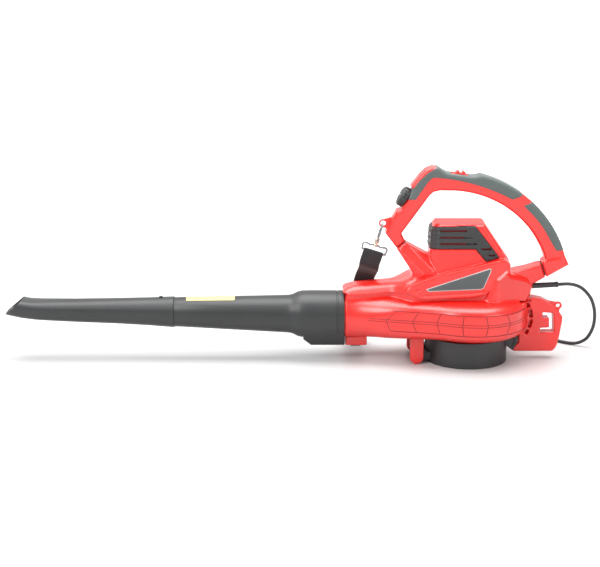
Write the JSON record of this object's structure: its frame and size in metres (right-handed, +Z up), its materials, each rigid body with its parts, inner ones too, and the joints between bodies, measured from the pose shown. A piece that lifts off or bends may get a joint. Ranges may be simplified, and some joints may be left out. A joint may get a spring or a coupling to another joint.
{
  "type": "leaf blower",
  "caption": "Corded leaf blower with a round fan casing, hooped top handle, tapered blowing tube, hinged intake cover and shoulder strap.",
  "frame": {"origin": "centre of the intake cover's hub, on the plane that the blower stands on, under the fan's axis", "axes": "+Z up along the fan's axis, -X along the blowing tube towards its mouth, -Y towards the left side as seen by the user"},
  "size_m": [1.1353, 0.366, 0.3725],
  "materials": {
    "red_shell": "satin",
    "black_plastic": "matt",
    "grip_rubber": "matt",
    "cord_rubber": "matt",
    "badge_plastic": "satin",
    "bright_steel": "brushed",
    "plated_wire": "polished",
    "core_steel": "satin",
    "copper_parts": "satin",
    "carbon": "matt",
    "circuit_board": "satin",
    "label_film": "satin",
    "webbing": "woven"
  },
  "bodies": {
    "blower": {"casing_left": "red_shell", "casing_right": "red_shell", "body_left": "red_shell", "body_right": "red_shell", "front_feet": "red_shell", "handle_left": "red_shell", "handle_right": "red_shell", "front_grip": "grip_rubber", "rear_grip": "grip_rubber", "vent_grille_left": "black_plastic", "vent_grille_right": "black_plastic", "badge_left": "badge_plastic", "badge_right": "badge_plastic", "rear_bracket": "red_shell", "intake_ring": "red_shell", "cover_hinge_pin": "bright_steel", "fan_plate": "black_plastic", "motor_stator": "core_steel", "field_coils": "copper_parts", "motor_bracket": "black_plastic", "lower_bearing": "bright_steel", "upper_bearing": "bright_steel", "brush_holders": "copper_parts", "carbon_brushes": "carbon", "cover_spring": "bright_steel", "tube_lock_spring": "bright_steel", "switch_unit": "black_plastic", "speed_control": "circuit_board", "control_board": "circuit_board", "housing_screws": "bright_steel", "handle_screws": "bright_steel", "cord_guard": "cord_rubber", "cord_clamp": "black_plastic", "power_cord": "cord_rubber", "power_plug": "cord_rubber", "plug_pins": "plated_wire", "strap_web": "webbing", "strap_stack": "webbing", "spare_hook": "plated_wire"},
    "rotor": {"fan_shaft": "bright_steel", "armature_core": "core_steel", "armature_windings": "copper_parts", "commutator": "copper_parts", "cooling_fan": "black_plastic", "fan_impeller": "black_plastic", "fan_nut": "bright_steel"},
    "blow_tube": {"rear_tube": "black_plastic", "tube_label": "label_film"},
    "nozzle": {"front_nozzle": "black_plastic", "nozzle_catch": "black_plastic"},
    "cover": {"intake_cover": "black_plastic", "intake_grille": "black_plastic"},
    "lock_button": {"tube_lock_button": "black_plastic"},
    "switch": {"switch_slider": "red_shell"},
    "dial": {"speed_dial": "black_plastic"},
    "strap_hook": {"snap_hook": "plated_wire", "strap_ring": "plated_wire", "strap_end": "webbing"},
    "gate": {"hook_gate": "plated_wire"}
  },
  "joints": [
    {"name": "rotor_spin", "type": "hinge", "parent": "blower", "child": "rotor", "pos_m": [0, 0, 0.1], "axis": [0, 0, 1], "continuous": true},
    {"name": "tube_slide", "type": "slide", "parent": "blower", "child": "blow_tube", "axis": [-1, 0, 0], "range_m": [0, 0.038]},
    {"name": "nozzle_slide", "type": "slide", "parent": "blow_tube", "child": "nozzle", "axis": [-1, 0, 0], "range_m": [0, 0.036]},
    {"name": "cover_hinge", "type": "hinge", "parent": "blower", "child": "cover", "pos_m": [-0.097, 0, 0.013], "axis": [0, 1, 0], "range_deg": [0, 105], "stiffness_Nm_per_rad": 0.5, "springref_deg": -40.11},
    {"name": "lock_press", "type": "slide", "parent": "blower", "child": "lock_button", "axis": [0, 0, 1], "range_m": [0, 0.003], "stiffness_N_per_m": 400, "springref_m": -0.003, "deforming": ["tube_lock_spring"]},
    {"name": "switch_slide", "type": "slide", "parent": "blower", "child": "switch", "axis": [-0.9936, 0, 0.1132], "range_m": [0, 0.006]},
    {"name": "dial_turn", "type": "hinge", "parent": "blower", "child": "dial", "pos_m": [-0.119, 0, 0.3115], "axis": [-0.871, 0, 0.4913], "range_deg": [0, 270]},
    {"name": "hook_swing", "type": "hinge", "parent": "blower", "child": "strap_hook", "pos_m": [-0.162, 0, 0.2635], "axis": [0, 1, 0], "range_deg": [-12, 12]},
    {"name": "gate_pull", "type": "slide", "parent": "strap_hook", "child": "gate", "axis": [-0.3007, 0, -0.9537], "range_m": [0, 0.006], "stiffness_N_per_m": 300, "springref_m": -0.003}
  ]
}
